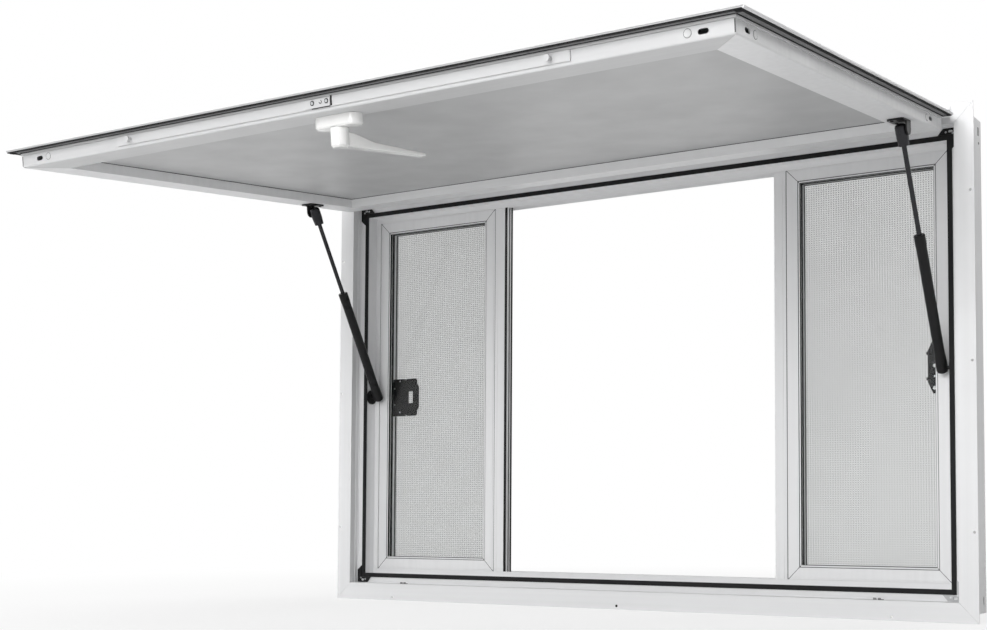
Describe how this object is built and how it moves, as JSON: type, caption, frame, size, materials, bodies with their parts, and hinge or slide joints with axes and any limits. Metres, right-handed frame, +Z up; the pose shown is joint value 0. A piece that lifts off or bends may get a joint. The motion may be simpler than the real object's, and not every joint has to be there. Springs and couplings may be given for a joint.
{
  "type": "concession window",
  "caption": "Serving window for a trailer wall: flanged aluminium frame, awning panel on a top hinge with gas struts, sliding glass sashes and insect screens.",
  "frame": {"origin": "centre of the back face of the bottom wall flange, 10.5 mm above its lower edge", "axes": "+Z up, -Y to the customer outside, +Y into the wall, +X to the right seen from outside"},
  "size_m": [1.38, 0.909, 0.866],
  "materials": {
    "frame_aluminium": "satin mill finish",
    "awning_sheet": "satin painted sheet",
    "window_glass": "clear float glass",
    "insect_mesh": "woven mesh",
    "black_rubber": "matt",
    "black_steel": "satin black",
    "rod_steel": "dark nitrided",
    "white_plastic": "gloss moulded"
  },
  "bodies": {
    "frame": {"frame_sill": "frame_aluminium", "frame_head": "frame_aluminium", "frame_jamb_left": "frame_aluminium", "frame_jamb_right": "frame_aluminium", "hinge_rail": "frame_aluminium", "sash_frame_left": "frame_aluminium", "sash_stile_left": "frame_aluminium", "screen_frame_left": "frame_aluminium", "screen_stile_left": "frame_aluminium", "glass_left": "window_glass", "screen_mesh_left": "insect_mesh", "strut_plate_left": "black_steel", "sash_frame_right": "frame_aluminium", "sash_stile_right": "frame_aluminium", "screen_frame_right": "frame_aluminium", "screen_stile_right": "frame_aluminium", "glass_right": "window_glass", "screen_mesh_right": "insect_mesh", "strut_plate_right": "black_steel", "corner_key_bottom_left": "black_steel", "corner_key_bottom_right": "frame_aluminium", "corner_key_top_left": "black_steel", "corner_key_top_right": "black_steel", "screen_latch": "black_steel", "screen_keeper": "black_steel", "frame_gasket": "black_rubber"},
    "awning": {"hinge_leaf": "frame_aluminium", "awning_head": "frame_aluminium", "awning_foot": "frame_aluminium", "awning_bar_left": "frame_aluminium", "awning_bar_right": "frame_aluminium", "strut_ear_left": "black_steel", "strut_ear_right": "black_steel", "awning_skin": "awning_sheet", "awning_liner": "awning_sheet", "awning_seal": "black_rubber", "handle_base": "white_plastic"},
    "handle": {"handle_lever": "white_plastic"},
    "lock_bar": {"lock_bar": "frame_aluminium"},
    "strut_rod_left": {"strut_rod_left": "rod_steel"},
    "strut_cylinder_left": {"strut_cylinder_left": "black_steel"},
    "strut_rod_right": {"strut_rod_right": "rod_steel"},
    "strut_cylinder_right": {"strut_cylinder_right": "black_steel"}
  },
  "joints": [
    {"name": "awning_hinge", "type": "hinge", "parent": "frame", "child": "awning", "pos_m": [0, -0.0122, 0.8355], "axis": [1, 0, 0], "range_deg": [0, 84.5]},
    {"name": "strut_swing_left", "type": "hinge", "parent": "awning", "child": "strut_rod_left", "pos_m": [-0.6192, -0.15798, 0.77826], "axis": [1, 0, 0], "range_deg": [-112.5, 0]},
    {"name": "strut_stroke_left", "type": "slide", "parent": "strut_rod_left", "child": "strut_cylinder_left", "axis": [0, -0.4771, 0.8789], "range_m": [0, 0.145]},
    {"name": "strut_swing_right", "type": "hinge", "parent": "awning", "child": "strut_rod_right", "pos_m": [0.6192, -0.15798, 0.77826], "axis": [1, 0, 0], "range_deg": [-112.5, 0]},
    {"name": "strut_stroke_right", "type": "slide", "parent": "strut_rod_right", "child": "strut_cylinder_right", "axis": [0, -0.4771, 0.8789], "range_m": [0, 0.145]},
    {"name": "handle_turn", "type": "hinge", "parent": "awning", "child": "handle", "pos_m": [0, -0.7663, 0.71688], "axis": [0, 0.0958, -0.9954], "range_deg": [-12, 78]},
    {"name": "lock_slide", "type": "slide", "parent": "awning", "child": "lock_bar", "axis": [1, 0, 0], "range_m": [-0.0027, 0.0174]}
  ],
  "couplings": [
    {"joint": "strut_swing_left", "follows": "awning_hinge", "ratio": -1.318},
    {"joint": "strut_stroke_left", "follows": "awning_hinge", "m_per_rad": 0.097046},
    {"joint": "strut_swing_right", "follows": "awning_hinge", "ratio": -1.318},
    {"joint": "strut_stroke_right", "follows": "awning_hinge", "m_per_rad": 0.097046},
    {"joint": "lock_slide", "follows": "handle_turn", "m_per_rad": 0.0127}
  ]
}
